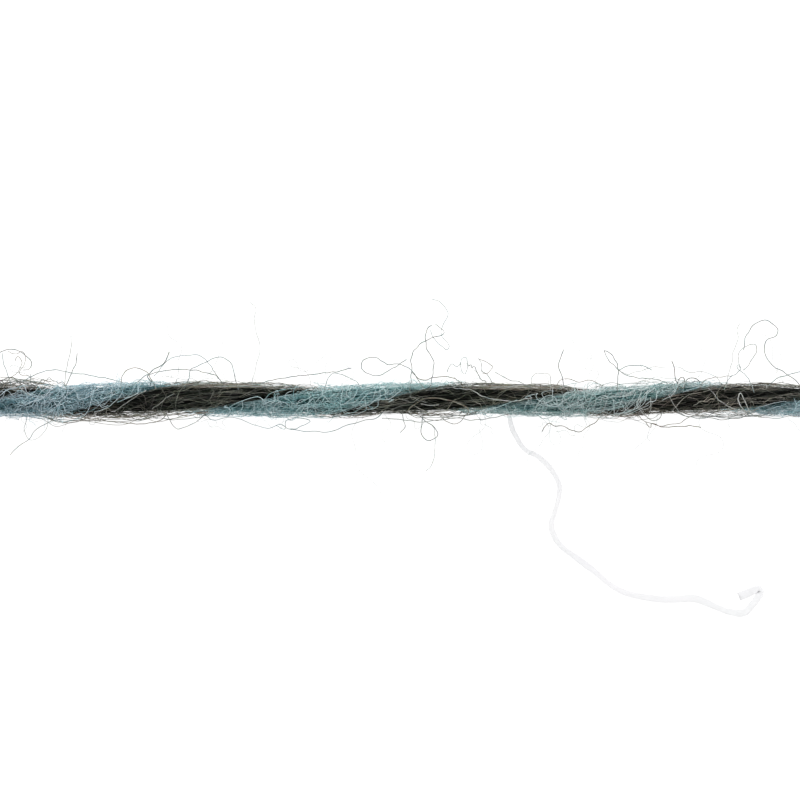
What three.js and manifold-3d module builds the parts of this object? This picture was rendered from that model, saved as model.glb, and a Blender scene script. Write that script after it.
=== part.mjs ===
// A cut length of marled sock yarn that lies straight on a surface: a light teal woollen ply and a
// charcoal one, twisted round each other to the left (an S twist), both ends cut square.
// Millimetres. +X runs along the strand, +Y across it and +Z up from the surface at Z = 0.

import * as THREE from "three";
import { mergeVertices } from "three/addons/utils/BufferGeometryUtils.js";
import Module from "manifold-3d";

const wasm = await Module();
wasm.setup();

// Driving dimensions
const YARN_DIAMETER = 1.6; // over both plies and their close nap
const TWIST_PITCH = 13.45; // one turn of the plies round each other
const TURNS = 4;
const TEAL_ON_TOP_X = -3.95; // a place where the teal ply lies straight on top
const PLY_GAP = 0.3; // clear space between the plies
const CHARCOAL_EXTRA = 0.1; // how much thicker the charcoal ply is
const EDGE_RADIUS = 0.12; // rounds the two edges of a ply's flat inner side
const SWAY = 0.1; // the strand's own axis runs in a slight helix of this radius
const PRESSED = 0.06; // how far the strand is pressed flat where it lies on the surface

// Fineness of the facets
const STEPS_PER_TURN = 20;
const OUTER_STEPS = 10;
const EDGE_STEPS = 2;
const INNER_STEPS = 3;
const MERGE_WITHIN = 1e-4;

const RADIUS = YARN_DIAMETER / 2;
const LENGTH = TURNS * TWIST_PITCH;

// Each ply's flat inner side lies this far from the strand's axis. The last column turns the ply
// round the axis, away from the teal one.
const PLIES = [
  { name: "ply_teal", inner: (PLY_GAP + CHARCOAL_EXTRA) / 2, turned: 0, colour: 0x6e96a2 },
  { name: "ply_charcoal", inner: (PLY_GAP - CHARCOAL_EXTRA) / 2, turned: Math.PI, colour: 0x32302a },
];

// Points along an arc. The last one is left to the stretch that follows.
function arc(centreX, centreY, radius, from, to, steps) {
  return Array.from({ length: steps }, (_, step) => {
    const angle = from + ((to - from) * step) / steps;
    return new THREE.Vector2(
      centreX + radius * Math.cos(angle),
      centreY + radius * Math.sin(angle),
    );
  });
}

// Points along a straight line, its last one again left out.
function straight(from, to, steps) {
  return Array.from({ length: steps }, (_, step) => from.clone().lerp(to, step / steps));
}

// Half a disc with rounded edges, bulging towards +X, its flat side at `inner` from the axis.
function plySection(inner) {
  const edgeX = inner + EDGE_RADIUS;
  const edgeY = Math.sqrt((RADIUS - EDGE_RADIUS) ** 2 - edgeX ** 2);
  const reach = Math.atan2(edgeY, edgeX);
  return new THREE.Shape([
    ...arc(0, 0, RADIUS, -reach, reach, OUTER_STEPS),
    ...arc(edgeX, edgeY, EDGE_RADIUS, reach, Math.PI, EDGE_STEPS),
    ...straight(new THREE.Vector2(inner, edgeY), new THREE.Vector2(inner, -edgeY), INNER_STEPS),
    ...arc(edgeX, -edgeY, EDGE_RADIUS, Math.PI, 2 * Math.PI - reach, EDGE_STEPS),
  ]);
}

// The section is extruded and then twisted along X, about an axis that sways with the twist.
function twistedPly({ inner, turned }) {
  const geometry = new THREE.ExtrudeGeometry(plySection(inner), {
    depth: LENGTH,
    steps: TURNS * STEPS_PER_TURN,
    bevelEnabled: false,
  });
  const place = geometry.attributes.position;
  for (let i = 0; i < place.count; i += 1) {
    const x = place.getZ(i) - LENGTH / 2;
    const twist = (2 * Math.PI * (x - TEAL_ON_TOP_X)) / TWIST_PITCH;
    const out = place.getX(i);
    const across = place.getY(i);
    const angle = twist + turned;
    const y = out * Math.sin(angle) - across * Math.cos(angle) - SWAY * Math.cos(twist);
    const z = out * Math.cos(angle) + across * Math.sin(angle) + SWAY * Math.sin(twist);
    place.setXYZ(i, x, y, z);
  }
  return geometry;
}

// Cuts a closed geometry level with the surface, which leaves the flats on which it lies.
function cutAtSurface(geometry) {
  geometry.deleteAttribute("normal");
  geometry.deleteAttribute("uv");
  const merged = mergeVertices(geometry, MERGE_WITHIN);
  const whole = new wasm.Manifold(
    new wasm.Mesh({
      numProp: 3,
      vertProperties: merged.attributes.position.array,
      triVerts: new Uint32Array(merged.index.array),
    }),
  );
  const cut = whole.trimByPlane([0, 0, 1], 0).getMesh();
  const result = new THREE.BufferGeometry();
  result.setAttribute("position", new THREE.BufferAttribute(cut.vertProperties, cut.numProp));
  result.setIndex(new THREE.BufferAttribute(cut.triVerts, 1));
  result.computeVertexNormals();
  return result;
}

// Centres the strand over the origin and sinks it by PRESSED before it is cut.
function sockYarn() {
  const geometries = PLIES.map(twistedPly);
  const box = new THREE.Box3();
  for (const geometry of geometries) {
    geometry.computeBoundingBox();
    box.union(geometry.boundingBox);
  }
  const middleY = (box.min.y + box.max.y) / 2;
  const yarn = new THREE.Group();
  PLIES.forEach(({ name, colour }, i) => {
    geometries[i].translate(0, -middleY, -box.min.z - PRESSED);
    const material = new THREE.MeshStandardMaterial({ color: colour, roughness: 0.9, metalness: 0 });
    const ply = new THREE.Mesh(cutAtSurface(geometries[i]), material);
    ply.name = name;
    yarn.add(ply);
  });
  return yarn;
}

export default sockYarn();
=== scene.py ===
"""A cut length of marled sock yarn, lying straight on a pale surface and seen from straight above.

Two woollen plies, one light teal and one charcoal, are twisted round each other. Each ply is a core
that is closed over by long fibres and a nap of short curls, and stray fibres stand off both.
Lengths are in millimetres until a mesh is made."""

import math
from collections import namedtuple

import bpy
import numpy as np
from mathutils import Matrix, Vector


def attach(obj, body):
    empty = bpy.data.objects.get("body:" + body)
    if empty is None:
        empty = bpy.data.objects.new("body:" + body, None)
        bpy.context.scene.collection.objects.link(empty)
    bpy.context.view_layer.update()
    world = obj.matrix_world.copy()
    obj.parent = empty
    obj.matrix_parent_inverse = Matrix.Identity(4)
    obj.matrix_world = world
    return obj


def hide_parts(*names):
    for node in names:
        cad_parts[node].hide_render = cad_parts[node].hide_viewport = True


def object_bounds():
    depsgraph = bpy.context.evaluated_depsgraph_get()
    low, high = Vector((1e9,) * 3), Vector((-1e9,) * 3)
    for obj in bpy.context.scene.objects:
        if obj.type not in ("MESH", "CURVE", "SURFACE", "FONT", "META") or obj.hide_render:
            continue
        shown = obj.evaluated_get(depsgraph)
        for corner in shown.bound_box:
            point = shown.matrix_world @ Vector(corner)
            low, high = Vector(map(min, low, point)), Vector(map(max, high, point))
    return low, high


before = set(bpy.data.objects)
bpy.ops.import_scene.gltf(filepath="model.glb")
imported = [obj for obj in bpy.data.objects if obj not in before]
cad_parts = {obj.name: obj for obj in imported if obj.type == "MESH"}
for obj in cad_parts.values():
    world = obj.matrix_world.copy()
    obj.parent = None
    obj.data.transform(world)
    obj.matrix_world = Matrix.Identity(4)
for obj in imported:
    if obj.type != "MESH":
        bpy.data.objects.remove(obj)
cad_low, cad_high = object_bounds()

MM = 0.001

# The strand as the CAD part has it
TURNS = 4
TEAL_ON_TOP_X = -3.95
CHARCOAL_EXTRA = 0.1
SWAY = 0.1
PRESSED = 0.06
HALF_LENGTH = cad_high.x / MM
PITCH = 2 * HALF_LENGTH / TURNS
AXIS_Z = (cad_high.z / MM - PRESSED) / 2
CAD_RADIUS = cad_high.y / MM - SWAY

# The photograph's frame
VIEW_WIDTH = 40.0
AXIS_OFF_CENTRE = 0.02
LENS, SENSOR = 200.0, 36.0
CAMERA_DISTANCE = VIEW_WIDTH * LENS / SENSOR

# The plies. The fibres of each are twisted the other way, so they run nearly along the strand
BODY_RADIUS = CAD_RADIUS - 0.06
EDGE_RADIUS = 0.26
HEART = 0.37
FLAT_SIDE_SHARE = 0.4
SINGLES_PITCH = 14.0
PLY_MIDDLE = 0.4 * BODY_RADIUS
CORE_DEPTH = 0.33
CLEFT_WIDTH = 0.22
# How far fibres in the bottom of a cleft are darkened: painted shade in the clefts
CLEFT_PAINTED_SHADE = 0.3
FLOOR_CLEARANCE = 0.015
END_CLEARANCE = 0.04
FRAY_LENGTH = 1.3
FRAY_SPREAD = 0.28

# Curls start within this angle round a ply, both of its sides taken together. They turn aside from
# SEAM_ANGLE on, and reach no more than PAST_SEAM beyond it
CURL_REACH = 2.3
SEAM_ANGLE = 1.3
PAST_SEAM = 0.42

# The fibre ends that fill the cut faces
TIP_LENGTH = 0.7
TIP_UNEVEN = 0.14
TIP_DEPTH = 0.06
TIP_RADIUS = 0.024

# How thick the strand is along its length, as a share of its usual thickness
Thickness = namedtuple("Thickness", "x share")
THICKNESSES = (
    Thickness(-27.0, 1.03),
    Thickness(-16.0, 1.06),
    Thickness(-6.0, 1.0),
    Thickness(3.0, 0.99),
    Thickness(12.0, 0.96),
    Thickness(20.0, 0.97),
    Thickness(27.0, 1.0),
)

Ply = namedtuple("Ply", "name slot turned inner seed")
TEAL = Ply("teal", "teal_wool", 0.0, CHARCOAL_EXTRA / 2, 11)
CHARCOAL = Ply("charcoal", "charcoal_wool", math.pi, -CHARCOAL_EXTRA / 2, 23)


def smooth_step(value):
    value = np.clip(value, 0, 1)
    return value * value * (3 - 2 * value)


def thickness_at(x):
    return np.interp(x, [row.x for row in THICKNESSES], [row.share for row in THICKNESSES])


class Outline:
    """A ply's closed section: half a disc with rounded edges, its flat side `inner` from the axis.

    A place on it is a share of the way round, from 0 at the middle of the outer side."""

    FINENESS = 720

    def __init__(self, inner):
        edge_x = inner + EDGE_RADIUS
        edge_y = math.sqrt((BODY_RADIUS - EDGE_RADIUS) ** 2 - edge_x**2)
        reach = math.atan2(edge_y, edge_x)
        outer = self.arc(0, 0, BODY_RADIUS, 0, reach)
        edge = self.arc(edge_x, edge_y, EDGE_RADIUS, reach, math.pi)
        half = np.vstack([outer, edge, [[inner, 0.0]]])
        ring = np.vstack([half, half[-2:0:-1] * (1, -1), half[:1]])
        way = np.append(0, np.cumsum(np.linalg.norm(np.diff(ring, axis=0), axis=1)))
        self.round = way[-1]
        self.share = np.linspace(0, 1, self.FINENESS + 1)
        self.places = np.stack([np.interp(self.share * way[-1], way, c) for c in ring.T], 1)
        self.outward = self.places - (HEART, 0)
        self.outward /= np.linalg.norm(self.outward, axis=1)[:, None]
        self.outward *= FLAT_SIDE_SHARE + (1 - FLAT_SIDE_SHARE) * smooth_step(
            (self.places[:, :1] - inner) / (HEART - inner)
        )

    @staticmethod
    def arc(centre_x, centre_y, radius, start, end, steps=60):
        angle = np.linspace(start, end, steps)
        return np.stack([centre_x + radius * np.cos(angle), centre_y + radius * np.sin(angle)], 1)

    def at(self, share, height):
        """Places `height` outside the outline, or less on the flat side, as (out, across)."""
        share = share % 1.0
        place = [np.interp(share, self.share, c) for c in self.places.T]
        outward = [np.interp(share, self.share, c) for c in self.outward.T]
        return place[0] + height * outward[0], place[1] + height * outward[1]


def in_strand(ply, x, out, across):
    """From a ply's turning section to the row frame, in millimetres. Nothing goes below the floor."""
    twist = 2 * np.pi * (x - TEAL_ON_TOP_X) / PITCH
    angle = twist + ply.turned
    size = thickness_at(x)
    out, across = out * size, across * size
    y = out * np.sin(angle) - across * np.cos(angle) - SWAY * np.cos(twist)
    z = AXIS_Z + out * np.cos(angle) + across * np.sin(angle) + SWAY * np.sin(twist)
    return np.stack([x + 0 * y, y, np.maximum(z, FLOOR_CLEARANCE)], -1)


def turned_back(x):
    """Turns fibres back where they would run past a cut end."""
    limit = HALF_LENGTH - END_CLEARANCE
    over = np.maximum(np.abs(x) - limit, 0)
    return x - 2 * np.sign(x) * over


class Waves:
    """A smooth random pattern round and along a ply, about -1 to 1, that closes on itself round it."""

    def __init__(self, rng, around, along, count=14):
        self.around = rng.integers(around[0], around[1] + 1, count) * rng.choice((-1, 1), count)
        self.along = 1 / rng.uniform(*along, count)
        self.phase = rng.uniform(0, 2 * np.pi, count)

    def at(self, share, x):
        total = 0
        for around, along, phase in zip(self.around, self.along, self.phase):
            total = total + np.cos(2 * np.pi * (around * share + along * x) + phase)
        return total * math.sqrt(2 / len(self.phase)) / 1.6


def wander(rng, count, x, sizes, waves=5):
    """A smooth random walk for each of `count` fibres along x, with wavelengths from `sizes`."""
    total = np.zeros((count, len(x)))
    for _ in range(waves):
        turns = 1 / rng.uniform(*sizes, (count, 1))
        total += np.cos(2 * np.pi * (turns * x[None] + rng.random((count, 1))))
    return total * math.sqrt(2 / waves)


# Meshes

SHADE_MAP = "OFBake"
SHADE_WIDTH = 0.012


def tube_faces(fibres, steps, sides):
    index = np.arange(fibres * steps * sides).reshape(fibres, steps, sides)
    after = np.roll(index, -1, 2)
    quads = np.stack([index[:, :-1], after[:, :-1], after[:, 1:], index[:, 1:]], -1)
    return quads.reshape(-1, 4), np.concatenate([index[:, 0, ::-1], index[:, -1]])


def tubes(paths, radius, sides=3):
    """Closed thin tubes along paths of the shape (fibre, point, 3). Returns points and faces."""
    fibres, steps, _ = paths.shape
    along = np.gradient(paths, axis=1)
    along /= np.maximum(np.linalg.norm(along, axis=2, keepdims=True), 1e-9)
    side = np.cross(along[:, 0], (0.31, 0.42, 0.85))
    offsets = np.empty((fibres, steps, sides, 3))
    turn = 2 * np.pi * np.arange(sides) / sides
    radius = np.broadcast_to(radius, (fibres, steps))
    for step in range(steps):
        forward = along[:, step]
        side = side - (side * forward).sum(1, keepdims=True) * forward
        side /= np.maximum(np.linalg.norm(side, axis=1, keepdims=True), 1e-9)
        up = np.cross(forward, side)
        ring = np.cos(turn)[:, None] * side[:, None] + np.sin(turn)[:, None] * up[:, None]
        offsets[:, step] = ring * radius[:, step, None, None]
    points = paths[:, :, None] + offsets
    return points.reshape(-1, 3), *tube_faces(fibres, steps, sides)


def mesh_piece(name, parts):
    """One object from parts of (points in mm, list of face arrays, shade map per point)."""
    points, corners, counts, shades = [], [], [], []
    first = 0
    for places, face_sets, shade in parts:
        for faces in face_sets:
            corners.append((faces + first).ravel())
            counts.append(np.full(len(faces), faces.shape[1]))
        points.append(places)
        shades.append(shade)
        first += len(places)
    points, shades = np.concatenate(points) * MM, np.concatenate(shades)
    corners, counts = np.concatenate(corners), np.concatenate(counts)
    mesh = bpy.data.meshes.new(name)
    mesh.vertices.add(len(points))
    mesh.vertices.foreach_set("co", points.astype(np.float32).ravel())
    mesh.loops.add(len(corners))
    mesh.loops.foreach_set("vertex_index", corners.astype(np.int32))
    mesh.polygons.add(len(counts))
    starts = np.append(0, np.cumsum(counts)[:-1])
    mesh.polygons.foreach_set("loop_start", starts.astype(np.int32))
    mesh.polygons.foreach_set("loop_total", counts.astype(np.int32))
    mesh.polygons.foreach_set("use_smooth", np.ones(len(counts), bool))
    uv = mesh.uv_layers.new(name=SHADE_MAP)
    uv.uv.foreach_set("vector", shades[corners].astype(np.float32).ravel())
    mesh.update(calc_edges=True)
    mesh.validate()
    piece = bpy.data.objects.new(name, mesh)
    bpy.context.scene.collection.objects.link(piece)
    return piece


def shade_map(tone, start, end, steps, sides=3):
    """The map that a fibre's material reads: its tone across, and its own stretch of grain along."""
    fibres = len(tone)
    across = np.linspace(-SHADE_WIDTH, SHADE_WIDTH, sides)
    u = np.clip(tone, 0.02, 0.98).reshape(fibres, -1, 1) + across[None, None]
    v = start[:, None] + (end - start)[:, None] * np.linspace(0, 1, steps)[None]
    u = np.broadcast_to(u, (fibres, steps, sides))
    v = np.broadcast_to(v[..., None], (fibres, steps, sides))
    return np.stack([u, v], -1).reshape(-1, 2)


# The pieces of one ply


class PlyForm:
    """A ply's outline with its locks: soft ridges and narrow clefts that run along its fibres."""

    def __init__(self, ply, look):
        rng = np.random.default_rng(ply.seed)
        self.ply, self.look, self.outline = ply, look, Outline(ply.inner)
        self.locks = Waves(rng, (2, 7), (5.0, 14.0))
        self.clefts = Waves(rng, (2, 6), (4.0, 12.0))
        self.where = Waves(rng, (0, 3), (3.0, 9.0))
        self.bunches = Waves(rng, (5, 13), (4.0, 12.0), 20)
        self.patches = Waves(rng, (1, 6), look.patch_sizes, 26)
        self.crowds = Waves(rng, (0, 3), (1.5, 6.0))

    def share(self, fibre_share, x):
        """Where a fibre lies round the section. Fibres turn in it against the twist of the plies,
        and draw together in bunches."""
        bunched = fibre_share + self.look.bunch * self.bunches.at(fibre_share, x)
        return bunched + x / SINGLES_PITCH

    def cleft(self, fibre_share, x):
        """From 0 to 1 in the bottom of a cleft."""
        near = 1 - np.abs(self.clefts.at(fibre_share, x)) / CLEFT_WIDTH
        return smooth_step(near) * smooth_step(0.5 + self.where.at(fibre_share, x))

    def shade(self, fibre_share, x):
        """How much paler or darker than usual the wool is at a place."""
        along = np.interp(x, *zip(*self.look.paler))
        return self.look.patch * self.patches.at(fibre_share, x) + along

    def height(self, fibre_share, x):
        ridges = self.look.lock * self.locks.at(fibre_share, x)
        return ridges - self.look.cleft * self.cleft(fibre_share, x)

    def places(self, fibre_share, x, height, inward=1.0):
        """Row-frame points `height` over the ply's locks, splayed out at the two cut ends. With
        `inward` below 1 they are drawn in to the ply's middle by that share."""
        total = height + self.height(fibre_share, x)
        out, across = self.outline.at(self.share(fibre_share, x), total)
        splay = 1 + FRAY_SPREAD * smooth_step(1 + (np.abs(x) - HALF_LENGTH) / FRAY_LENGTH) ** 2
        splay = splay * inward
        middle = self.ply.inner + PLY_MIDDLE
        return in_strand(self.ply, x, middle + (out - middle) * splay, across * splay)

    def over_seams(self, angle, x, height):
        """Row-frame points over the round strand, at an angle from the middle of the ply. They
        turn aside soon after the seam."""
        past = np.maximum(np.abs(angle) - SEAM_ANGLE, 0)
        angle = angle + np.sign(angle) * (PAST_SEAM * np.tanh(past / PAST_SEAM) - past)
        reach = BODY_RADIUS + height
        return in_strand(self.ply, x, reach * np.cos(angle), reach * np.sin(angle))


def core(form, around=56, steps=260):
    """The closed body under the fibres, its rows of faces running with them."""
    x = np.linspace(-HALF_LENGTH + 0.1, HALF_LENGTH - 0.1, steps + 1)
    share = np.arange(around) / around
    points = form.places(share[None], x[:, None], -CORE_DEPTH)
    index = np.arange((steps + 1) * around).reshape(steps + 1, around)
    after = np.roll(index, -1, 1)
    quads = np.stack([index[:-1], index[1:], after[1:], after[:-1]], -1).reshape(-1, 4)
    uv = np.stack(np.broadcast_arrays(share[None], np.linspace(0, 1, steps + 1)[:, None]), -1)
    ends = [index[:1], index[-1:, ::-1]]
    return mesh_piece(
        form.ply.name + "_core", [(points.reshape(-1, 3), [quads, *ends], uv.reshape(-1, 2))]
    )


Shades = namedtuple("Shades", "usual spread pale_share dark_share")


def tones(rng, count, shades):
    """A tone for each fibre, from 0 for the darkest to 1 for the palest."""
    tone = rng.normal(shades.usual, shades.spread, count)
    pick = rng.random(count)
    tone = np.where(pick < shades.pale_share, rng.uniform(0.72, 0.95, count), tone)
    return np.where(pick > 1 - shades.dark_share, rng.uniform(0.02, 0.2, count), tone)


def grain_at(x):
    """Where the shade map's second number stands for a place along the strand."""
    return 0.02 + 0.9 * (x / HALF_LENGTH + 1) / 2


# Long fibres at depths from `low` to `high`. `loft` is how far a fibre rises off the body where it
# has slack, and `radius` is its own
Layer = namedtuple("Layer", "count low high loft radius shades")
DEPTH_WANDER = 0.018
SLACK_FROM = 0.7
ENDS_UNEVEN = 0.35
POINTS_APART = 0.0004


def long_fibres(form, rng, layer, steps=118):
    """Fibres that run the whole length, each wandering in depth and to the sides."""
    count = layer.count
    x = np.linspace(-HALF_LENGTH, HALF_LENGTH, steps + 1)
    start = (np.arange(count) + rng.random(count)) / count
    drift = wander(rng, count, x, (2.5, 9.0)) + 0.25 * wander(rng, count, x, (1.2, 2.4))
    share = start[:, None] + form.look.drift * drift
    depth = rng.uniform(layer.low, layer.high, (count, 1))
    depth = depth + wander(rng, count, x, (2.0, 7.0)) * DEPTH_WANDER
    depth = depth + layer.loft * np.maximum(wander(rng, count, x, (3.0, 10.0)) - SLACK_FROM, 0)
    ends = HALF_LENGTH - rng.uniform(0, ENDS_UNEVEN, (2, count, 1))
    reach = np.clip(x[None], -ends[0], ends[1]) + POINTS_APART * np.arange(steps + 1)[None]
    paths = form.places(share, reach, depth)
    thick = layer.radius * rng.uniform(0.8, 1.25, (count, 1))
    points, quads, caps = tubes(paths, thick)
    # Fibres are darker in the clefts: painted shade
    tone = tones(rng, count, layer.shades)[:, None] - CLEFT_PAINTED_SHADE * form.cleft(share, x[None])
    # Fibres are darker the deeper they lie in the ply: painted shade
    tone = tone + form.shade(share, x[None]) + form.look.deep * depth
    grain = rng.uniform(0, 0.04, (2, count))
    first, last = grain_at(-HALF_LENGTH) + grain[0], grain_at(HALF_LENGTH) + grain[1]
    return points, [quads, caps], shade_map(tone, first, last, steps + 1)


# Short fibres. `spread` is how far they turn from the strand's direction, in radians, `curl` how
# much they bend, `lift` how far they rise, `free` the share with one loose end and `crowd` how
# much closer together they are in some spots
Fuzz = namedtuple("Fuzz", "count steps length radius lift spread curl free crowd shades")


def scattered(form, rng, fuzz):
    """Where the short fibres start, as a place along the strand and a share round it."""
    limit = HALF_LENGTH - 0.05
    tries = 4 * fuzz.count
    x, share = rng.uniform(-limit, limit, tries), rng.random(tries)
    liking = fuzz.crowd * form.crowds.at(share, x) + rng.normal(0, 1, tries)
    keep = np.argsort(liking)[-fuzz.count :]
    return x[keep, None], share[keep, None]


def short_fibres(form, rng, fuzz, over_seams=False):
    """Short fibres over a ply. Each is anchored at one end or both, and rises between them."""
    count, steps = fuzz.count, fuzz.steps
    way = np.linspace(0, 1, steps + 1)[None]
    long = rng.uniform(*fuzz.length, (count, 1))
    heading = rng.normal(0, fuzz.spread, (count, 1)) + np.pi * rng.integers(0, 2, (count, 1))
    bend = fuzz.curl * rng.normal(0, 1.4, (count, 1)) * (way - 0.5)
    for waves in (1.0, 2.0, 3.5):
        bend = bend + fuzz.curl * rng.normal(0, 0.75 / waves, (count, 1)) * np.sin(
            2 * np.pi * (waves * way + rng.random((count, 1)))
        )
    step = long / steps
    along = np.cumsum(np.cos(heading + bend) * step, axis=1)
    around = np.cumsum(np.sin(heading + bend) * step, axis=1)
    first_x, first_share = scattered(form, rng, fuzz)
    x = turned_back(first_x + along)
    share = first_share + around / form.outline.round
    rise = fuzz.lift[0] + (fuzz.lift[1] - fuzz.lift[0]) * rng.random((count, 1)) ** 2
    free = rng.random((count, 1)) < fuzz.free
    profile = np.where(free, way**1.3, np.sin(np.pi * way))
    ripples = rng.uniform(1, 4, (count, 1)) * way + rng.random((count, 1))
    height = 0.01 + rise * profile + 0.01 * np.sin(2 * np.pi * ripples)
    if over_seams:
        paths = form.over_seams(CURL_REACH * (first_share - 0.5) + around / BODY_RADIUS, x, height)
    else:
        paths = form.places(share - form.look.bunch * form.bunches.at(share, x), x, height)
    thick = fuzz.radius * rng.uniform(0.75, 1.2, (count, 1))
    points, quads, caps = tubes(paths, thick)
    tone = tones(rng, count, fuzz.shades)[:, None] + form.shade(share, x)
    grain = rng.uniform(0, 0.04, count) + grain_at(x[:, 0])
    return points, [quads, caps], shade_map(tone, grain, grain + 0.02, steps + 1)


def cut_tips(form, rng, shades, count=300, steps=3):
    """The fibre ends that fill a ply's two cut faces."""
    share = rng.random((2 * count, 1))
    inward = np.sqrt(rng.random((2 * count, 1)))
    back = np.linspace(TIP_LENGTH, 0, steps + 1)[None] + TIP_UNEVEN * rng.random((2 * count, 1))
    x = np.repeat((-1.0, 1.0), count)[:, None] * (HALF_LENGTH - back)
    paths = form.places(share + 0 * x, x, -TIP_DEPTH, inward)
    points, quads, caps = tubes(paths, TIP_RADIUS)
    grain = rng.uniform(0, 0.9, 2 * count)
    tone = tones(rng, 2 * count, shades)[:, None]
    return points, [quads, caps], shade_map(tone, grain, grain + 0.02, steps + 1)


# Stray fibres that stand off the strand


# `route` has x along the strand and y across it, as seen from above, and `shade` is a tone on the
# strays' own ramp
Stray = namedtuple("Stray", "shade thick route")
DARK, BROWN, GREY, TEAL_GREY, PALE, WHITE = 0.1, 0.28, 0.44, 0.6, 0.8, 0.95
FINE, USUAL, STOUT = 0.017, 0.021, 0.026
STRAY_STEP = 0.09
STRAY_WAVER = 0.014
CRIMPS_BY_THICKNESS = 4e3

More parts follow.
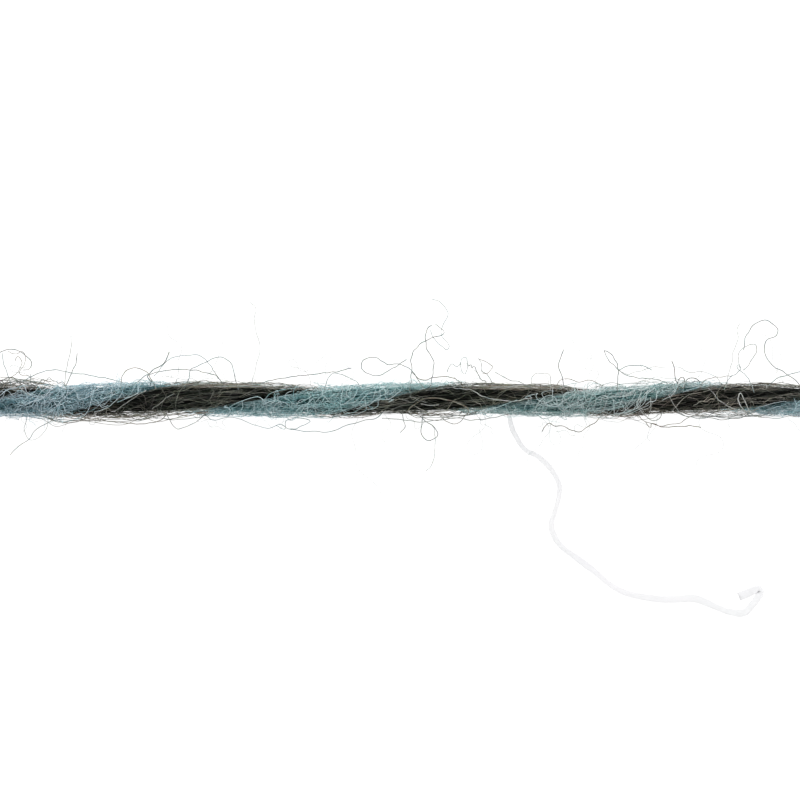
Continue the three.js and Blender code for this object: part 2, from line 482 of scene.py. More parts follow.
STRAYS = (
    # Above the strand in the picture, from left to right
    Stray(GREY, USUAL, ((-21, 1.6), (-20.5, 2.1), (-19.7, 2.5), (-19.1, 2.48), (-18.7, 2.2),
          (-18.4, 1.85), (-18.55, 1.55), (-18.85, 1.5))),
    Stray(BROWN, FINE, ((-19.6, 2.45), (-19.2, 2.3), (-18.95, 2.42), (-18.7, 2.15), (-18.8, 1.75),
          (-19.05, 1.4), (-18.9, 1.25), (-18.5, 1.15), (-18.1, 0.8))),
    Stray(BROWN, FINE, ((-19.2, 1.95), (-19.2, 2.1), (-19.05, 2.15), (-18.9, 1.85), (-19.2, 1.3),
          (-19.6, 1), (-19.7, 0.7))),
    Stray(DARK, FINE, ((-20.2, 0.9), (-19.6, 1.09), (-19.36, 1.12), (-19.05, 0.9), (-18.9, 0.7))),
    Stray(BROWN, FINE, ((-19.1, 0.62), (-19.2, 0.72), (-19.34, 0.68), (-19.38, 0.52),
          (-19.25, 0.44), (-19.1, 0.5), (-19.08, 0.64))),
    Stray(PALE, FINE, ((-19.05, 0.68), (-18.82, 0.38), (-18.5, 0.26))),
    Stray(GREY, FINE, ((-18.47, 1.28), (-18.47, 0.9), (-18.35, 0.65), (-18.1, 0.8), (-17.9, 1))),
    Stray(BROWN, FINE, ((-19.05, 1.02), (-18.4, 0.96), (-17.9, 0.77), (-17.75, 0.96),
          (-17.4, 0.9))),
    Stray(DARK, USUAL, ((-20.4, 1.25), (-19.9, 0.92), (-19.8, 0.7), (-19.9, 0.5))),
    Stray(TEAL_GREY, FINE, ((-19.9, 2.35), (-19.8, 1.8), (-19.6, 1.2), (-19.4, 0.7))),
    Stray(PALE, FINE, ((-16.45, 3.2), (-16.45, 2.9), (-16.5, 2.25), (-16.7, 1.5), (-16.75, 0.9),
          (-16.7, 0.5))),
    Stray(GREY, USUAL, ((-16.15, 2.33), (-16.2, 1.85), (-16.5, 1.2), (-16.7, 0.7))),
    Stray(TEAL_GREY, USUAL, ((-18.9, 0.9), (-18.4, 1.2), (-17.4, 1.52), (-16.7, 1.4), (-15.9, 1.3),
          (-14.9, 1.12), (-14.1, 0.96), (-13.5, 0.6))),
    Stray(BROWN, USUAL, ((-14, 0.6), (-13.9, 1.1), (-13.7, 1.45), (-13.3, 1.6), (-12.85, 1.53),
          (-12.57, 1.28), (-12.4, 0.96), (-12.2, 0.5))),
    Stray(GREY, STOUT, ((-11.53, 2.42), (-11.7, 2), (-11.9, 1.75), (-12.4, 1.47), (-12.6, 1.15),
          (-12.35, 0.8))),
    Stray(TEAL_GREY, FINE, ((-12.3, 1.2), (-11.6, 1.98), (-11.05, 2.2), (-10, 2.22), (-9.6, 1.85),
          (-9, 1), (-8.8, 0.6))),
    Stray(GREY, USUAL, ((-14.6, 0.3), (-13.9, 0.52), (-13.2, 0.85), (-12.65, 1.25), (-11.7, 1.47),
          (-10.7, 1.53), (-9.4, 1.3), (-9, 1), (-8.6, 0.5))),
    Stray(TEAL_GREY, USUAL, ((-10.8, 0.6), (-10.56, 1.08), (-10.43, 1.53), (-10, 1.76),
          (-9.1, 2.15), (-8.65, 2), (-8.4, 1.7), (-8.2, 1), (-8.1, 0.5))),
    Stray(WHITE, FINE, ((-7.5, 4.9), (-7.2, 4.55), (-7.3, 3.9), (-7.1, 3.1), (-7, 2.5),
          (-7.35, 1.1), (-7.4, 0.6))),
    Stray(GREY, USUAL, ((-7.2, 0.6), (-6.75, 0.9), (-5.5, 1.15), (-3.35, 1.4), (-2.4, 1.6))),
    Stray(TEAL_GREY, FINE, ((-3.8, 0.6), (-3.4, 1.3), (-2.75, 1.2), (-2.2, 0.95), (-2, 0.5))),
    Stray(GREY, USUAL, ((0.35, 2.05), (-0.25, 1.65), (-1, 1.25), (-1.45, 1.25), (-1.9, 1.55),
          (-1.9, 1.9), (-1.6, 2.1), (-1.15, 2.1), (-0.65, 1.8), (0, 1.78), (0.5, 1.55),
          (0.95, 0.95), (1.2, 0.5))),
    Stray(GREY, USUAL, ((0.5, 0.5), (0.58, 1.4), (0.56, 2), (0.72, 2.5), (1.1, 2.87), (1.6, 3.1),
          (2.1, 3.25), (2.2, 3.45), (1.75, 3.8))),
    Stray(GREY, USUAL, ((1.5, 0.5), (1.58, 1), (1.68, 1.53), (1.65, 2), (1.43, 2.4), (1.25, 3.1),
          (1.4, 3.6), (1.6, 3.75))),
    Stray(TEAL_GREY, FINE, ((1.5, 3.5), (1.74, 3), (2.3, 2.55), (2.45, 2.7), (2.1, 3.2),
          (2.1, 3.65), (2.35, 4.1), (2.35, 4.5), (2, 4.9), (1.6, 5.05))),
    Stray(BROWN, USUAL, ((0.6, 1.4), (1.1, 1), (1.62, 1.1), (2.06, 1.18), (2.57, 1.12),
          (2.95, 0.95), (3.2, 0.6))),
    Stray(TEAL_GREY, FINE, ((2.35, 1.4), (2.48, 1.7), (2.64, 1.8), (2.83, 1.66), (3.02, 1.82),
          (3.05, 2.05), (3.28, 2.14), (3.35, 2), (3.4, 1.72), (3.24, 1.3), (3.08, 1.43),
          (3.02, 1.9))),
    Stray(GREY, USUAL, ((3.4, 1.7), (3.53, 1.8), (3.6, 1.62), (3.72, 1.66), (3.91, 1.3),
          (4.07, 1.02), (4.23, 0.97), (4.4, 0.6))),
    Stray(GREY, FINE, ((3.94, 2.06), (4.07, 1.85), (4.07, 1.47), (4.32, 1.3), (4.58, 0.95),
          (4.7, 0.5))),
    Stray(BROWN, FINE, ((3.9, 2.08), (4.32, 1.88), (4.64, 1.7), (4.58, 1.56), (4.32, 1.3),
          (4.1, 1.35))),
    Stray(GREY, FINE, ((4.74, 1.4), (5.12, 1.2), (5.57, 0.96), (6, 0.9), (6.5, 0.6))),
    Stray(PALE, FINE, ((6.6, 0.6), (6.62, 1.15), (6.9, 1.35), (7.42, 1.3), (7.55, 1.1),
          (7.5, 0.5))),
    Stray(GREY, USUAL, ((8.18, 2.52), (7.96, 1.9), (7.93, 1.6), (8.1, 1.15), (8.2, 0.7))),
    Stray(BROWN, FINE, ((7.8, 0.4), (7.93, 0.9), (8.18, 1.04), (8.7, 0.98), (9, 0.92), (9.6, 0.95),
          (10.2, 0.7))),
    Stray(GREY, USUAL, ((10.19, 2.48), (10.4, 2.05), (10.86, 1.57), (11.24, 1.28), (11.8, 1.12),
          (12.32, 1.08), (13.15, 0.95), (13.6, 0.6))),
    Stray(GREY, USUAL, ((10.19, 2.48), (10.45, 2.35), (10.67, 2.17), (10.86, 1.8), (10.9, 1.5),
          (10.9, 0.9), (10.85, 0.5))),
    Stray(TEAL_GREY, USUAL, ((10.92, 1.5), (11.3, 1.66), (11.75, 1.74), (12.2, 1.7),
          (12.58, 1.48))),
    Stray(PALE, FINE, ((11.05, 1.4), (11.4, 1.3), (11.7, 1.36), (12.1, 1.48), (12.7, 1.66),
          (13.1, 1.65), (13.98, 1.63), (14.24, 1.47), (14.75, 1.38), (15.26, 1.4), (15.8, 1.15),
          (16.1, 0.7))),
    Stray(DARK, USUAL, ((13.57, 1.92), (13.73, 1.6), (13.76, 1.2), (13.85, 0.83), (14.05, 0.62),
          (14.2, 0.6), (14.27, 0.83), (14.18, 1.12), (14, 1.1), (13.88, 0.9), (13.9, 0.5))),
    Stray(DARK, USUAL, ((14.3, 0.7), (14.3, 0.93), (14.5, 1.09), (14.78, 1.09), (14.97, 0.87),
          (15, 0.61), (14.88, 0.4), (14.7, 0.42))),
    Stray(BROWN, FINE, ((14.9, 0.7), (15.3, 1), (15.9, 1.15), (16.6, 1.2))),
    Stray(TEAL_GREY, FINE, ((16.2, 0.5), (16.47, 1.1), (16.92, 1.4), (17.05, 1.57), (16.92, 1.76),
          (16.82, 1.66), (17, 1.47), (17.37, 1.15), (17.55, 0.8), (17.7, 0.4))),
    Stray(GREY, FINE, ((16.98, 1.6), (16.92, 2.17), (17.05, 2.49), (17.43, 2.75), (17.78, 2.75),
          (17.85, 2.43), (17.62, 2.08), (17.4, 1.73), (17.18, 1.5))),
    Stray(WHITE, FINE, ((17, 3.85), (16.85, 3.5), (16.9, 3), (16.6, 2.25), (16.6, 1.85),
          (16.4, 1.2), (16.3, 0.6))),
    Stray(GREY, USUAL, ((17.2, 2.5), (17.3, 3.2), (17.7, 3.75), (18.2, 4), (18.65, 3.8),
          (18.9, 3.5), (18.8, 3.2), (18.4, 3.05), (18.22, 2.75), (18.3, 2.2), (18.65, 1.7),
          (19.2, 1.4), (19.8, 0.95), (20.2, 0.5))),
    Stray(TEAL_GREY, USUAL, ((18.3, 0.6), (18.6, 0.9), (19.2, 1.2), (20, 1.4), (21, 1.3),
          (22, 0.7))),
    # Below it
    Stray(GREY, FINE, ((-19.5, -2.75), (-19.3, -2.5), (-18.55, -1.95), (-18.3, -1.56),
          (-17.8, -1.24), (-17.4, -1), (-17, -0.6))),
    Stray(PALE, FINE, ((-18.6, -0.7), (-18.72, -1.15), (-18.8, -1.47), (-18.63, -1.88),
          (-18.34, -1.98), (-17.96, -1.82), (-17.7, -1.4), (-17.5, -0.8))),
    Stray(BROWN, USUAL, ((-18.4, -0.6), (-17.9, -0.83), (-16.94, -1.08), (-16.18, -1.02),
          (-15.15, -0.92), (-14.58, -1.08), (-13.62, -1.15), (-12.85, -1.2), (-12, -1.02),
          (-11.7, -0.7))),
    Stray(BROWN, USUAL, ((-17.9, -0.6), (-17.45, -0.72), (-16.43, -0.9), (-15.6, -0.86),
          (-14.8, -0.7), (-14.26, -0.78), (-13.62, -0.85), (-12.85, -0.78), (-11.8, -0.72),
          (-10.6, -0.76), (-9.6, -0.6))),
    Stray(PALE, FINE, ((-17.2, -0.55), (-16, -0.98), (-14.9, -1), (-13.9, -0.95), (-13.2, -1.05),
          (-12.3, -0.9), (-11.4, -0.95), (-10.6, -0.7))),
    Stray(GREY, FINE, ((-15.3, -0.6), (-14.4, -0.88), (-13.4, -0.98), (-12.5, -0.86),
          (-11.2, -0.98), (-10.2, -0.88), (-9.3, -0.6))),
    Stray(GREY, USUAL, ((-12, -0.5), (-11.65, -0.75), (-11.4, -1.2), (-11.07, -1.45),
          (-10.5, -1.24), (-10, -0.97), (-9.7, -0.6))),
    Stray(TEAL_GREY, USUAL, ((-9.8, -0.7), (-9.35, -1), (-8.35, -0.86), (-7.4, -1.2), (-6.75, -1.4),
          (-6, -1.25), (-5.5, -1.45), (-4.4, -1.58), (-3.4, -1.56), (-2.75, -1.3), (-1.9, -1.05),
          (-1.2, -0.9), (-0.7, -0.5))),
    Stray(TEAL_GREY, FINE, ((-6.2, -1.3), (-5.75, -1.45), (-5.7, -1.05), (-5, -0.9), (-4.5, -1.05),
          (-5.1, -1.4), (-5.5, -1.45))),
    Stray(GREY, FINE, ((0, -1.63), (0.25, -1.34), (0.18, -0.95), (0.1, -0.6))),
    Stray(GREY, USUAL, ((1.2, -0.7), (1.1, -1.08), (1.03, -1.47), (1.2, -1.9), (1.48, -2.05),
          (1.8, -1.85), (1.87, -1.6), (1.68, -1.33), (1.36, -1.12), (1, -0.8))),
    Stray(PALE, FINE, ((1.6, -1.3), (1.72, -1.47), (1.74, -2), (1.75, -2.6), (1.6, -3.2),
          (1.3, -3.55))),
    Stray(BROWN, FINE, ((1.9, -0.7), (2.1, -0.85), (2.3, -1.08), (2.7, -1.2), (3.02, -1.08),
          (3.3, -0.7))),
    Stray(PALE, USUAL, ((-0.9, -0.9), (0.2, -1), (1.1, -1.1), (1.8, -1.02), (2.8, -0.9), (3.6, -1),
          (4.6, -0.9), (5.4, -0.7))),
    Stray(BROWN, USUAL, ((7.07, -1.55), (7.42, -1.18), (7.8, -1.32), (8.18, -1.3), (8.6, -1.53),
          (8.95, -1.58), (9.33, -1.4), (9.78, -1.08), (10.05, -0.77), (10.2, -0.4))),
    Stray(BROWN, USUAL, ((11.9, -0.7), (12.3, -1.1), (13.1, -1.28), (13.92, -1.15), (14.5, -0.86),
          (14.9, -0.67), (15.4, -0.5))),
    Stray(BROWN, USUAL, ((12.25, -1.08), (12.52, -1.39), (12.6, -1.15), (13.22, -1.37),
          (14.05, -1.3), (14.88, -1.33), (15.05, -1.4))),
    Stray(GREY, FINE, ((13.6, -0.5), (14.24, -0.8), (15, -0.85), (16.15, -0.97), (16.8, -0.92),
          (17.3, -0.77), (17.8, -0.5))),
    Stray(GREY, FINE, ((17.3, -0.6), (18, -0.85), (18.9, -0.9), (19.8, -0.8), (21, -0.95),
          (22, -0.6))),
    # Across it
    Stray(BROWN, STOUT, ((0.34, -0.62), (0.6, -0.3), (0.98, -0.06), (1.48, 0.1), (2, 0.08),
          (2.57, -0.06), (3.08, -0.22), (3.4, -0.47), (3.33, -0.72))),
    Stray(PALE, USUAL, ((1.3, 0.45), (2.32, 0.61), (2.83, 0.59), (3.6, 0.48), (4.1, 0.2),
          (4.74, 0.03), (5.38, -0.05), (6, -0.02), (6.6, 0.1))),
    Stray(GREY, USUAL, ((0.5, 0.2), (0.9, 0), (1.3, -0.15))),
    Stray(PALE, USUAL, ((1, -0.2), (1.5, -0.28), (1.95, -0.22))),
    Stray(PALE, USUAL, ((-14.3, -0.55), (-13.6, -0.1), (-13.1, 0.25), (-12.7, 0.5))),
    Stray(PALE, FINE, ((-12.4, -0.45), (-11.8, 0), (-11.3, 0.3))),
    Stray(WHITE, STOUT, ((12.1, 0.1), (11.85, -0.13), (11.95, -0.45), (12.26, -0.77),
          (12.64, -1.02), (12.96, -0.92), (13.12, -0.6))),
    Stray(WHITE, USUAL, ((12.5, 0.1), (12.55, -0.3), (12.5, -0.6), (12.45, -0.82))),
    Stray(WHITE, USUAL, ((12, -0.35), (12.2, -0.5), (12.45, -0.4), (12.6, -0.1))),
    Stray(WHITE, STOUT, ((16.95, 0.2), (16.9, 0.02), (17.1, -0.4), (17.38, -0.72), (17.46, -0.6),
          (17.27, -0.12), (17.1, 0.26), (16.98, 0.34), (16.9, 0.15))),
    Stray(PALE, USUAL, ((13.45, 0.28), (13.6, -0.06), (13.85, -0.48), (14, -0.7))),
    Stray(PALE, USUAL, ((15.4, 0.6), (15.84, 0.13), (16.28, -0.25), (16.8, -0.48), (17.3, -0.55))),
)

# Loose fibres side by side along one side of the strand, between two places along it. They keep
# about `off` from the strand's middle, below it where that is negative, and `lift` above it
Sheaf = namedtuple("Sheaf", "start end off spread count shades lift", defaults=(0.0,))
SHEAVES = (
    Sheaf(-21.5, -16.4, 0.9, 0.13, 18, Shades(0.35, 0.12, 0.15, 0.15)),
    Sheaf(-18.8, -9.2, -0.88, 0.17, 14, Shades(0.36, 0.12, 0.15, 0.05)),
    Sheaf(-12.5, -4.5, 0.67, 0.05, 12, Shades(0.32, 0.1, 0.15, 0.0), 0.42),
    Sheaf(-12.6, -6.5, 0.87, 0.07, 14, Shades(0.32, 0.08, 0.1, 0.05)),
    Sheaf(-9.5, -3.2, 0.79, 0.05, 10, Shades(0.3, 0.08, 0.1, 0.05)),
    Sheaf(-4.8, -0.5, -0.82, 0.05, 9, Shades(0.34, 0.1, 0.1, 0.05)),
    Sheaf(-0.5, 5.2, -0.79, 0.08, 10, Shades(0.4, 0.12, 0.1, 0.1)),
    Sheaf(1.5, 9.0, 0.76, 0.04, 9, Shades(0.3, 0.08, 0.1, 0.05)),
    Sheaf(2.5, 9.0, 0.64, 0.06, 20, Shades(0.28, 0.06, 0.15, 0.0), 0.45),
    Sheaf(8.5, 13.5, -0.79, 0.07, 14, Shades(0.28, 0.08, 0.3, 0.0)),
    Sheaf(9.5, 16.5, 0.84, 0.1, 6, Shades(0.6, 0.15, 0.2, 0.0)),
    Sheaf(14.5, 21.5, 0.78, 0.04, 8, Shades(0.3, 0.08, 0.1, 0.05)),
    Sheaf(13.5, 19.5, -0.79, 0.07, 9, Shades(0.4, 0.12, 0.1, 0.05)),
)


# A pale wisp, a thin flat band of the finest wool, which has come loose and lies on the surface
WISP_ROUTE = (
    (5.45, -0.7), (5.63, -1.45), (5.8, -1.8), (6.25, -2.48), (6.97, -2.88), (7.59, -3.5),
    (7.98, -4.22), (7.99, -4.75), (7.82, -5.47), (7.6, -6.18), (7.68, -6.72), (8.08, -7.34),
    (8.84, -7.92), (9.73, -8.59), (10.54, -9.27), (11.25, -9.66), (11.97, -9.86), (13.04, -10.01),
    (13.93, -10.01), (14.73, -9.97), (15.35, -10.18), (16.07, -10.49), (16.6, -10.66),
    (17.23, -10.7), (17.68, -10.29), (18.13, -9.62), (17.85, -9.55), (17.0, -9.9),
)
WISP_HALF_WIDTH = 0.15
WISP_HALF_THICKNESS = 0.004
WISP_HEIGHT = 0.04
WISP_STEP = 0.16

# Faint hairs that stand off all along the strand
HAIRS = 70
HAIR_RADIUS = 0.0075


def spline(route, spacing):
    """A smooth curve through the points of a route, as evenly spaced points."""
    knots = np.array(route, float)
    before = 2 * knots[0] - knots[1]
    after = 2 * knots[-1] - knots[-2]
    held = np.vstack([before, knots, after])
    pieces = []
    share = np.linspace(0, 1, 12, endpoint=False)[:, None]
    for a, b, c, d in zip(held[:-3], held[1:-2], held[2:-1], held[3:]):
        pieces.append(
            0.5 * (2 * b + (c - a) * share + (2 * a - 5 * b + 4 * c - d) * share**2
                   + (3 * b - a - 3 * c + d) * share**3)
        )
    curve = np.vstack([*pieces, knots[-1:]])
    way = np.append(0, np.cumsum(np.linalg.norm(np.diff(curve, axis=0), axis=1)))
    count = max(4, round(way[-1] / spacing))
    even = np.linspace(0, way[-1], count + 1)
    return np.stack([np.interp(even, way, c) for c in curve.T], 1)


def over_strand(y, z, clearance=0.03):
    """Lifts a point so that it clears the strand under it."""
    top = AXIS_Z + np.sqrt(np.maximum((BODY_RADIUS + clearance) ** 2 - y**2, 0))
    return np.where(np.abs(y) < BODY_RADIUS + clearance, np.maximum(z, top), z)


def stray_fibre(row, rng):
    """One stray fibre. It leaves the strand's side and leans up or down as it stands out."""
    flat = spline(row.route, STRAY_STEP)
    steps = len(flat)
    way = STRAY_STEP * np.arange(steps)
    flat = flat + STRAY_WAVER * wander(rng, 2, way, (0.4, 1.6)).T
    x, y = flat[:, 0], flat[:, 1] - AXIS_OFF_CENTRE
    outside = np.maximum(np.abs(y) - 0.75 * BODY_RADIUS, 0)
    lean = rng.uniform(-0.1, 0.75)
    crimps = np.linspace(0, 1, steps) * row.thick * CRIMPS_BY_THICKNESS
    crimp = wander(rng, 1, crimps, (9.0, 26.0), 3)[0]
    z = AXIS_Z + lean * outside + 0.05 * crimp * smooth_step(outside / 0.4)
    z = np.maximum(over_strand(y, z), 2 * FLOOR_CLEARANCE)
    nearer = 1 - (z - AXIS_Z) / CAMERA_DISTANCE
    path = np.stack([x * nearer, y * nearer, z], 1)[None]
    radius = row.thick * (1 + 0.08 * crimp)[None]
    points, quads, caps = tubes(path, radius, sides=4)
    grain = rng.uniform(0, 0.8, 1)
    tone = np.array([[row.shade]]) + 0.05 * crimp[None]
    return points, [quads, caps], shade_map(tone, grain, grain + 0.15, steps, sides=4)


def sheaf(row, rng, steps=40):
    """Loose fibres that arch away from the strand's side and come back to it."""
    count = row.count
    way = np.linspace(0, 1, steps + 1)[None]
    long = (row.end - row.start) * rng.uniform(0.3, 0.8, (count, 1))
    first = row.start + (row.end - row.start - long) * rng.random((count, 1))
    x = first + long * way
    side = math.copysign(1, row.off)
    arch = np.sin(np.pi * way) ** 0.5
    peak = abs(row.off) + row.spread * rng.normal(0, 1, (count, 1))
    y = 0.5 + (peak - 0.5) * arch
    y = y + 0.4 * row.spread * wander(rng, count, way[0] * 5, (0.7, 4.0))
    z = AXIS_Z + (row.lift + 0.3 * rng.normal(0, 1, (count, 1))) * arch
    paths = np.stack([x, side * y, np.maximum(z, 2 * FLOOR_CLEARANCE)], -1)
    points, quads, caps = tubes(paths, FINE * rng.uniform(0.65, 1.1, (count, 1)))
    grain = rng.uniform(0, 0.9, count)
    tone = tones(rng, count, row.shades)[:, None]
    return points, [quads, caps], shade_map(tone, grain, grain + 0.1, steps + 1)


def hairs(rng, steps=44):
    """Faint curly hairs, each with one end in the strand."""
    way = np.linspace(0, 1, steps + 1)[None]
    long = rng.uniform(1.5, 5.0, (HAIRS, 1))
    heading = rng.uniform(0.15, 2.9, (HAIRS, 1))
    bend = 1.3 * rng.normal(0, 1, (HAIRS, 1)) * way + 0.8 * wander(rng, HAIRS, way[0] * 4, (1, 5))
    forward = np.cumsum(np.cos(heading + bend), axis=1) * long / steps
    out = np.cumsum(np.sin(heading + bend), axis=1) * long / steps
    side = rng.choice((-1, 1), (HAIRS, 1))
    x = rng.uniform(0.05 - HALF_LENGTH, HALF_LENGTH - 0.05, (HAIRS, 1)) + forward
    lean = rng.uniform(-0.3, 0.9, (HAIRS, 1))
    y = side * (0.85 * BODY_RADIUS + out)
    z = AXIS_Z + lean * np.abs(out)
    paths = np.stack([turned_back(x), y, np.maximum(z, 2 * FLOOR_CLEARANCE)], -1)
    points, quads, caps = tubes(paths, HAIR_RADIUS * rng.uniform(0.7, 1.3, (HAIRS, 1)))
    grain = rng.uniform(0, 0.9, HAIRS)
    tone = rng.uniform(GREY, WHITE, (HAIRS, 1))
    return points, [quads, caps], shade_map(tone, grain, grain + 0.1, steps + 1)


def wisp(rng, sides=8):
    """The band, a little wider in some spots than in others."""
    flat = spline(WISP_ROUTE, WISP_STEP)
    steps = len(flat)
    forward = np.gradient(flat, axis=0)
    forward /= np.linalg.norm(forward, axis=1, keepdims=True)
    side = np.stack([-forward[:, 1], forward[:, 0]], 1)
    way = np.arange(steps) * WISP_STEP
    uneven = wander(rng, 2, way, (2.0, 8.0))
    turn = 2 * np.pi * np.arange(sides) / sides
    wide = WISP_HALF_WIDTH * (0.75 + 0.5 * way / way[-1] + 0.08 * uneven[0])
    across = wide[:, None] * np.cbrt(np.cos(turn))[None]
    points = np.empty((steps, sides, 3))
    points[..., :2] = flat[:, None] + across[..., None] * side[:, None]
    middle = WISP_HEIGHT + 0.006 * uneven[1]
    points[..., 2] = middle[:, None] + WISP_HALF_THICKNESS * np.sin(turn)[None]
    shades = shade_map(np.array([[WHITE]]), np.zeros(1), np.full(1, 0.06), steps, sides)
    return points.reshape(-1, 3), tube_faces(1, steps, sides), shades


# Materials


def srgb(red, green, blue):
    """A colour given as it looks on the screen, from 0 to 255, as Blender wants it."""
    value = np.array([red, green, blue]) / 255
    linear = np.where(value <= 0.04045, value / 12.92, ((value + 0.055) / 1.055) ** 2.4)
    return (*linear, 1.0)


def ramp(nodes, stops):
    node = nodes.new("ShaderNodeValToRGB")
    elements = node.color_ramp.elements
    while len(elements) < len(stops):
        elements.new(0.5)
    for element, (place, colour) in zip(elements, stops):
        element.position = place
        element.color = srgb(*colour)
    return node


def set_inputs(node, **values):
    """Sets a node's inputs by name, with _ for a space."""
    for name, value in values.items():
        node.inputs[name.replace("_", " ")].default_value = value
    return node


def add_node(nodes, kind, **values):
    return set_inputs(nodes.new("ShaderNode" + kind), **values)


def colour_mix(nodes, blend, share):
    node = nodes.new("ShaderNodeMix")
    node.data_type, node.blend_type = "RGBA", blend
    return set_inputs(node, Factor=share)


def link(tree, *joins):
    """Joins nodes. Each row has a node and its output, and then a node and its input."""
    for source, output, target, entry in joins:
        tree.links.new(source.outputs[output], target.inputs[entry])


# How the noise is scaled across and along the fibres, and how far it shifts their tones
GRAIN_SCALE = (14.0, 90.0, 1.0)
CORE_GRAIN_SCALE = (90.0, 26.0, 1.0)
GRAIN_SHIFT = 0.28


def noisy_material(name, scale, detail):
    """A material with noise over the shade map. Gives its shader, map and noise nodes as well."""
    material = bpy.data.materials.new(name)
    material.use_nodes = True
    tree = material.node_tree
    place = add_node(tree.nodes, "UVMap")
    place.uv_map = SHADE_MAP
    stretch = add_node(tree.nodes, "Mapping", Scale=scale)
    noise = add_node(tree.nodes, "TexNoise", Scale=1.0, Detail=detail)
    link(tree, (place, "UV", stretch, "Vector"), (stretch, "Vector", noise, "Vector"))
    return material, tree.nodes["Principled BSDF"], place, noise


def fibre_material(name, stops, tints, let_through, variety=0.5, roughness=0.62):
    """Wool fibres: a tone from the shade map, a streaky grain along each fibre, tints that change
    along the strand, and light that comes through them."""
    material, shader, place, grain = noisy_material(name, GRAIN_SCALE, 3.0)
    tree = material.node_tree
    nodes = tree.nodes
    parts = add_node(nodes, "SeparateXYZ")
    shift = add_node(nodes, "MapRange", To_Min=-GRAIN_SHIFT, To_Max=GRAIN_SHIFT)
    tone = add_node(nodes, "Math")
    tone.operation = "ADD"
    colours = ramp(nodes, stops)
    tint = ramp(nodes, [(grain_at(x) + 0.02, colour) for x, colour in tints])
    tinted = colour_mix(nodes, "MULTIPLY", 1.0)
    varied = colour_mix(nodes, "SOFT_LIGHT", variety)
    rough = add_node(nodes, "MapRange", To_Min=roughness - 0.12, To_Max=roughness + 0.15)
    one_wall = add_node(nodes, "Gamma", Gamma=0.5)
    through = add_node(nodes, "BsdfTranslucent")
    mixed = add_node(nodes, "MixShader", Fac=let_through)
    set_inputs(shader, Specular_IOR_Level=0.35, Sheen_Weight=0.15)
    link(
        tree,
        (place, "UV", parts, "Vector"),
        (grain, "Fac", shift, "Value"),
        (parts, "X", tone, 0),
        (shift, "Result", tone, 1),
        (tone, "Value", colours, "Fac"),
        (parts, "Y", tint, "Fac"),
        (colours, "Color", tinted, "A"),
        (tint, "Color", tinted, "B"),
        (tinted, "Result", varied, "A"),
        (grain, "Color", varied, "B"),
        (varied, "Result", shader, "Base Color"),
        (grain, "Fac", rough, "Value"),
        (rough, "Result", shader, "Roughness"),
        (varied, "Result", one_wall, "Color"),
        (one_wall, "Color", through, "Color"),
        (shader, "BSDF", mixed, 1),
        (through, "BSDF", mixed, 2),
        (mixed, "Shader", nodes["Material Output"], "Surface"),
    )
    return material


def core_material(name, stops):
    """The packed fibres under the outer ones: fine streaks along the ply, with a bump to match. Their
    colours are darker than the wool's own, as painted shade inside the ply.
    """
    material, shader, _, streaks = noisy_material(name, CORE_GRAIN_SCALE, 4.0)
    tree = material.node_tree
    colours = ramp(tree.nodes, stops)
    bump = add_node(tree.nodes, "Bump", Strength=0.6, Distance=0.02 * MM)
    rough = add_node(tree.nodes, "MapRange", To_Min=0.7, To_Max=0.95)
    set_inputs(shader, Specular_IOR_Level=0.2)
    link(
        tree,
        (streaks, "Fac", colours, "Fac"),
        (colours, "Color", shader, "Base Color"),
        (streaks, "Fac", rough, "Value"),
        (rough, "Result", shader, "Roughness"),
        (streaks, "Fac", bump, "Height"),
        (bump, "Normal", shader, "Normal"),
    )
    return material


TEAL_STOPS = (
    (0.0, (42, 67, 70)),
    (0.3, (110, 151, 154)),
    (0.55, (168, 205, 206)),
    (0.8, (220, 242, 241)),
    (1.0, (248, 252, 251)),
)
CHARCOAL_STOPS = (
    (0.0, (15, 18, 15)),
    (0.3, (33, 37, 33)),
    (0.55, (72, 77, 72)),
    (0.8, (158, 161, 156)),
    (1.0, (234, 234, 230)),
)
STRAY_STOPS = (
    (0.0, (56, 60, 62)),
    (0.28, (174, 162, 146)),
    (0.44, (172, 178, 178)),
    (0.6, (172, 194, 198)),
    (0.8, (214, 216, 214)),
    (1.0, (244, 246, 246)),
)

# Tints by the place along the strand
TEAL_TINTS = (
    (-20.0, (238, 246, 255)), (-4.0, (232, 250, 252)), (8.0, (244, 252, 252)),
    (14.0, (246, 250, 250)), (20.0, (236, 248, 255)),
)
CHARCOAL_TINTS = (
    (-21.0, (250, 244, 236)), (-16.0, (255, 246, 238)), (-10.0, (246, 250, 236)),
    (-4.0, (252, 250, 242)), (5.0, (246, 248, 234)), (9.0, (255, 250, 238)),
    (11.0, (255, 240, 230)), (16.0, (255, 246, 236)), (20.0, (248, 246, 240)),
)
WISP_STOPS = ((0.0, (222, 222, 222)), (1.0, (248, 248, 248)))
WISP_TINTS = ((-20.0, (250, 250, 251)), (20.0, (250, 250, 251)))
STRAY_TINTS = ((-20.0, (246, 248, 244)), (20.0, (248, 246, 240)))


# Building the strand


def camera():
    data = bpy.data.cameras.new("camera")
    data.lens, data.sensor_width = LENS, SENSOR
    data.clip_start, data.clip_end = 0.01, 5.0
    made = bpy.data.objects.new("camera", data)
    made.location = (0, -AXIS_OFF_CENTRE * MM, (AXIS_Z + CAMERA_DISTANCE) * MM)
    bpy.context.scene.collection.objects.link(made)
    bpy.context.scene.camera = made
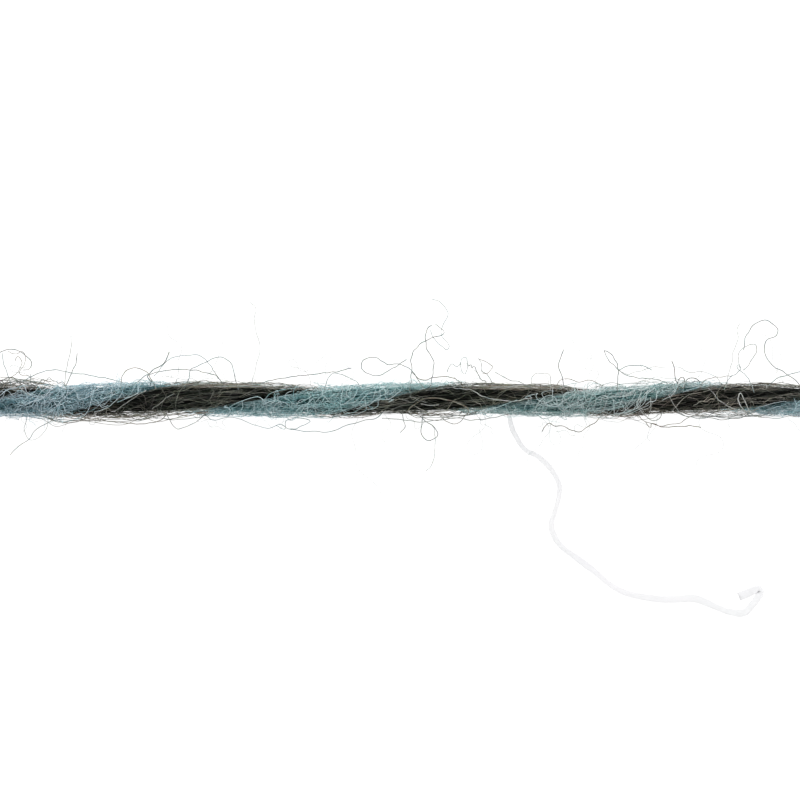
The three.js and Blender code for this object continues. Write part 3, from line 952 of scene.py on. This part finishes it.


# What sets the plies apart. `cleft` and `lock` are the depth of the clefts and the height of the
# ridges, `bunch` and `drift` how far fibres draw together and wander round the section, `patch` how
# much the shade varies and `patch_sizes` over what lengths. `paler` adds to the shade along the
# strand, and `deep` darkens a fibre with its depth, as painted shade
Look = namedtuple(
    "Look", "cleft lock bunch drift patch patch_sizes paler deep layers nap halo curls tips"
)
TEAL_LOOK = Look(
    cleft=0.11, lock=0.03, bunch=0.007, drift=0.012, patch=0.25, patch_sizes=(1.2, 8.0), deep=1.3,
    paler=((-19.0, -0.06), (-16.0, 0.02), (-10.0, 0.0), (5.0, 0.0), (9.0, 0.04), (14.0, 0.0)),
    # The usual tones rise from the inner layers to the outer ones: partly the wool's own paler fibres,
    # partly painted shade on the deeper layers
    layers=(
        Layer(100, -0.36, -0.24, 0.0, 0.027, Shades(0.68, 0.08, 0.0, 0.03)),
        Layer(44, -0.25, -0.12, 0.01, 0.017, Shades(0.86, 0.12, 0.03, 0.05)),
        Layer(28, -0.14, 0.02, 0.05, 0.012, Shades(0.95, 0.08, 0.1, 0.0)),
    ),
    nap=(
        Fuzz(1500, 12, (0.5, 1.8), 0.0105, (-0.1, 0.1), 0.45, 0.7, 0.3, 0.3,
             Shades(0.88, 0.12, 0.1, 0.04)),
        Fuzz(300, 15, (0.7, 2.2), 0.011, (0.05, 0.6), 0.9, 0.9, 0.5, 0.5,
             Shades(0.95, 0.08, 0.3, 0.0)),
    ),
    halo=(
        Fuzz(2400, 6, (0.25, 0.9), 0.007, (0.0, 0.26), 1.0, 0.6, 0.6, 0.0,
             Shades(0.97, 0.06, 0.2, 0.0)),
    ),
    curls=Fuzz(560, 24, (0.8, 3.2), 0.0145, (0.02, 0.24), 0.85, 1.0, 0.25, 1.0,
               Shades(1.0, 0.05, 0.0, 0.0)),
    tips=Shades(0.5, 0.12, 0.0, 0.1),
)
CHARCOAL_LOOK = Look(
    cleft=0.09, lock=0.035, bunch=0.005, drift=0.006, patch=0.16, patch_sizes=(2.5, 14.0),
    paler=((-16.0, 0.0), (-14.0, -0.06), (-10.5, -0.045), (-8.0, 0.0), (-2.0, 0.03),
           (2.0, 0.0), (3.5, 0.03), (6.5, 0.0)),
    deep=1.1,
    # The usual tones rise from the inner layers to the outer ones: partly the wool's own paler fibres,
    # partly painted shade on the deeper layers
    layers=(
        Layer(96, -0.38, -0.27, 0.0, 0.027, Shades(0.43, 0.08, 0.0, 0.03)),
        Layer(64, -0.3, -0.17, 0.02, 0.0125, Shades(0.55, 0.1, 0.02, 0.03)),
        Layer(50, -0.2, -0.03, 0.05, 0.0085, Shades(0.66, 0.12, 0.06, 0.02)),
    ),
    nap=(
        Fuzz(240, 14, (0.9, 3.4), 0.01, (-0.13, 0.06), 0.14, 0.25, 0.25, 0.6,
             Shades(0.7, 0.14, 0.12, 0.05)),
        Fuzz(220, 16, (1.0, 3.2), 0.009, (-0.03, 0.36), 0.5, 0.7, 0.5, 0.3,
             Shades(0.84, 0.1, 0.3, 0.0)),
    ),
    halo=(
        Fuzz(1200, 8, (0.5, 1.8), 0.007, (-0.09, 0.11), 0.3, 0.4, 0.5, 0.0,
             Shades(0.76, 0.1, 0.2, 0.0)),
    ),
    curls=Fuzz(40, 24, (1.0, 3.4), 0.0125, (0.02, 0.25), 0.5, 0.7, 0.25, 1.0,
               Shades(0.82, 0.08, 0.0, 0.0)),
    tips=Shades(0.35, 0.12, 0.0, 0.1),
)


def dress(piece, material):
    piece.data.materials.append(material)
    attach(piece, "root")
    return piece


def build_ply(ply, look, stops, core_stops_with_painted_shade, tints):
    rng = np.random.default_rng(ply.seed + 1)
    form = PlyForm(ply, look)
    packed = core_material(ply.name + "_core", core_stops_with_painted_shade)
    fibre = fibre_material(ply.name + "_fibre", stops, tints, let_through=0.8)
    crisp = fibre_material(ply.name + "_curl", stops, tints, let_through=0.15)
    layers = [long_fibres(form, rng, layer) for layer in look.layers]
    parts = {
        "_nap": [short_fibres(form, rng, fuzz) for fuzz in look.nap],
        "_halo": [short_fibres(form, rng, fuzz) for fuzz in look.halo],
        "_tips": [cut_tips(form, rng, look.tips)],
    }
    strands = dress(mesh_piece(ply.name + "_ply", layers), fibre)
    others = [dress(core(form), packed)]
    others += [dress(mesh_piece(ply.name + end, part), fibre)
               for end, part in parts.items()]
    curls = mesh_piece(ply.name + "_curls", [short_fibres(form, rng, look.curls, over_seams=True)])
    others.append(dress(curls, crisp))
    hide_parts("ply_" + ply.name)
    return strands, others


def build_strays():
    rng = np.random.default_rng(5)
    parts = [stray_fibre(row, rng) for row in STRAYS]
    parts += [sheaf(row, rng) for row in SHEAVES]
    parts.append(hairs(rng))
    fibre = fibre_material("stray_fibre", STRAY_STOPS, STRAY_TINTS, let_through=0.35)
    strays = dress(mesh_piece("stray_fibres", parts), fibre)
    soft = fibre_material("wisp_fibre", WISP_STOPS, WISP_TINTS, let_through=0.79, variety=0.1)
    loose = dress(mesh_piece("loose_wisp", [wisp(rng)]), soft)
    return [strays, loose]


# The sky's grey from the horizon up, and how much brighter it is on the side of +Y
SKY = ((0.05, 1.0), (0.9, 0.7))
SKY_TILT = 0.9


def studio():
    """A white surface that glows a little, as on a light table, under a white sky that is greyer
    overhead and brighter on the side of +Y.
    """
    floor_mesh = bpy.data.meshes.new("floor")
    reach = 2.0
    floor_mesh.from_pydata(
        [(-reach, -reach, 0), (reach, -reach, 0), (reach, reach, 0), (-reach, reach, 0)],
        [],
        [(0, 1, 2, 3)],
    )
    floor = bpy.data.objects.new("floor", floor_mesh)
    bpy.context.scene.collection.objects.link(floor)
    white = bpy.data.materials.new("white_surface")
    white.use_nodes = True
    set_inputs(
        white.node_tree.nodes["Principled BSDF"],
        Base_Color=(0.35, 0.35, 0.35, 1),
        Roughness=0.9,
        Specular_IOR_Level=0.0,
        Emission_Color=(1, 1, 1, 1),
        Emission_Strength=0.95,
    )
    floor_mesh.materials.append(white)
    sky = bpy.data.worlds.new("sky")
    sky.use_nodes = True
    nodes = sky.node_tree.nodes
    direction = add_node(nodes, "TexCoord")
    parts = add_node(nodes, "SeparateXYZ")
    shades = add_node(nodes, "ValToRGB")
    for element, (place, grey) in zip(shades.color_ramp.elements, SKY):
        element.position, element.color = place, (grey, grey, grey, 1)
    tilt = add_node(nodes, "Math")
    tilt.operation = "MULTIPLY_ADD"
    tilt.inputs[1].default_value = SKY_TILT
    tilt.inputs[2].default_value = 1.0
    link(
        sky.node_tree,
        (direction, "Generated", parts, "Vector"),
        (parts, "Z", shades, "Fac"),
        (parts, "Y", tilt, 0),
        (shades, "Color", nodes["Background"], "Color"),
        (tilt, "Value", nodes["Background"], "Strength"),
    )
    bpy.context.scene.world = sky
    bpy.context.scene.view_settings.view_transform = "Standard"


camera()
studio()
strays = build_strays()
# Each ply's core colours are darker than its fibres: painted shade inside the ply
teal, with_teal = build_ply(
    TEAL, TEAL_LOOK, TEAL_STOPS, ((0.3, (44, 66, 72)), (0.7, (92, 124, 130))), TEAL_TINTS
)
charcoal, with_charcoal = build_ply(
    CHARCOAL, CHARCOAL_LOOK, CHARCOAL_STOPS, ((0.3, (8, 8, 7)), (0.7, (30, 28, 25))),
    CHARCOAL_TINTS,
)
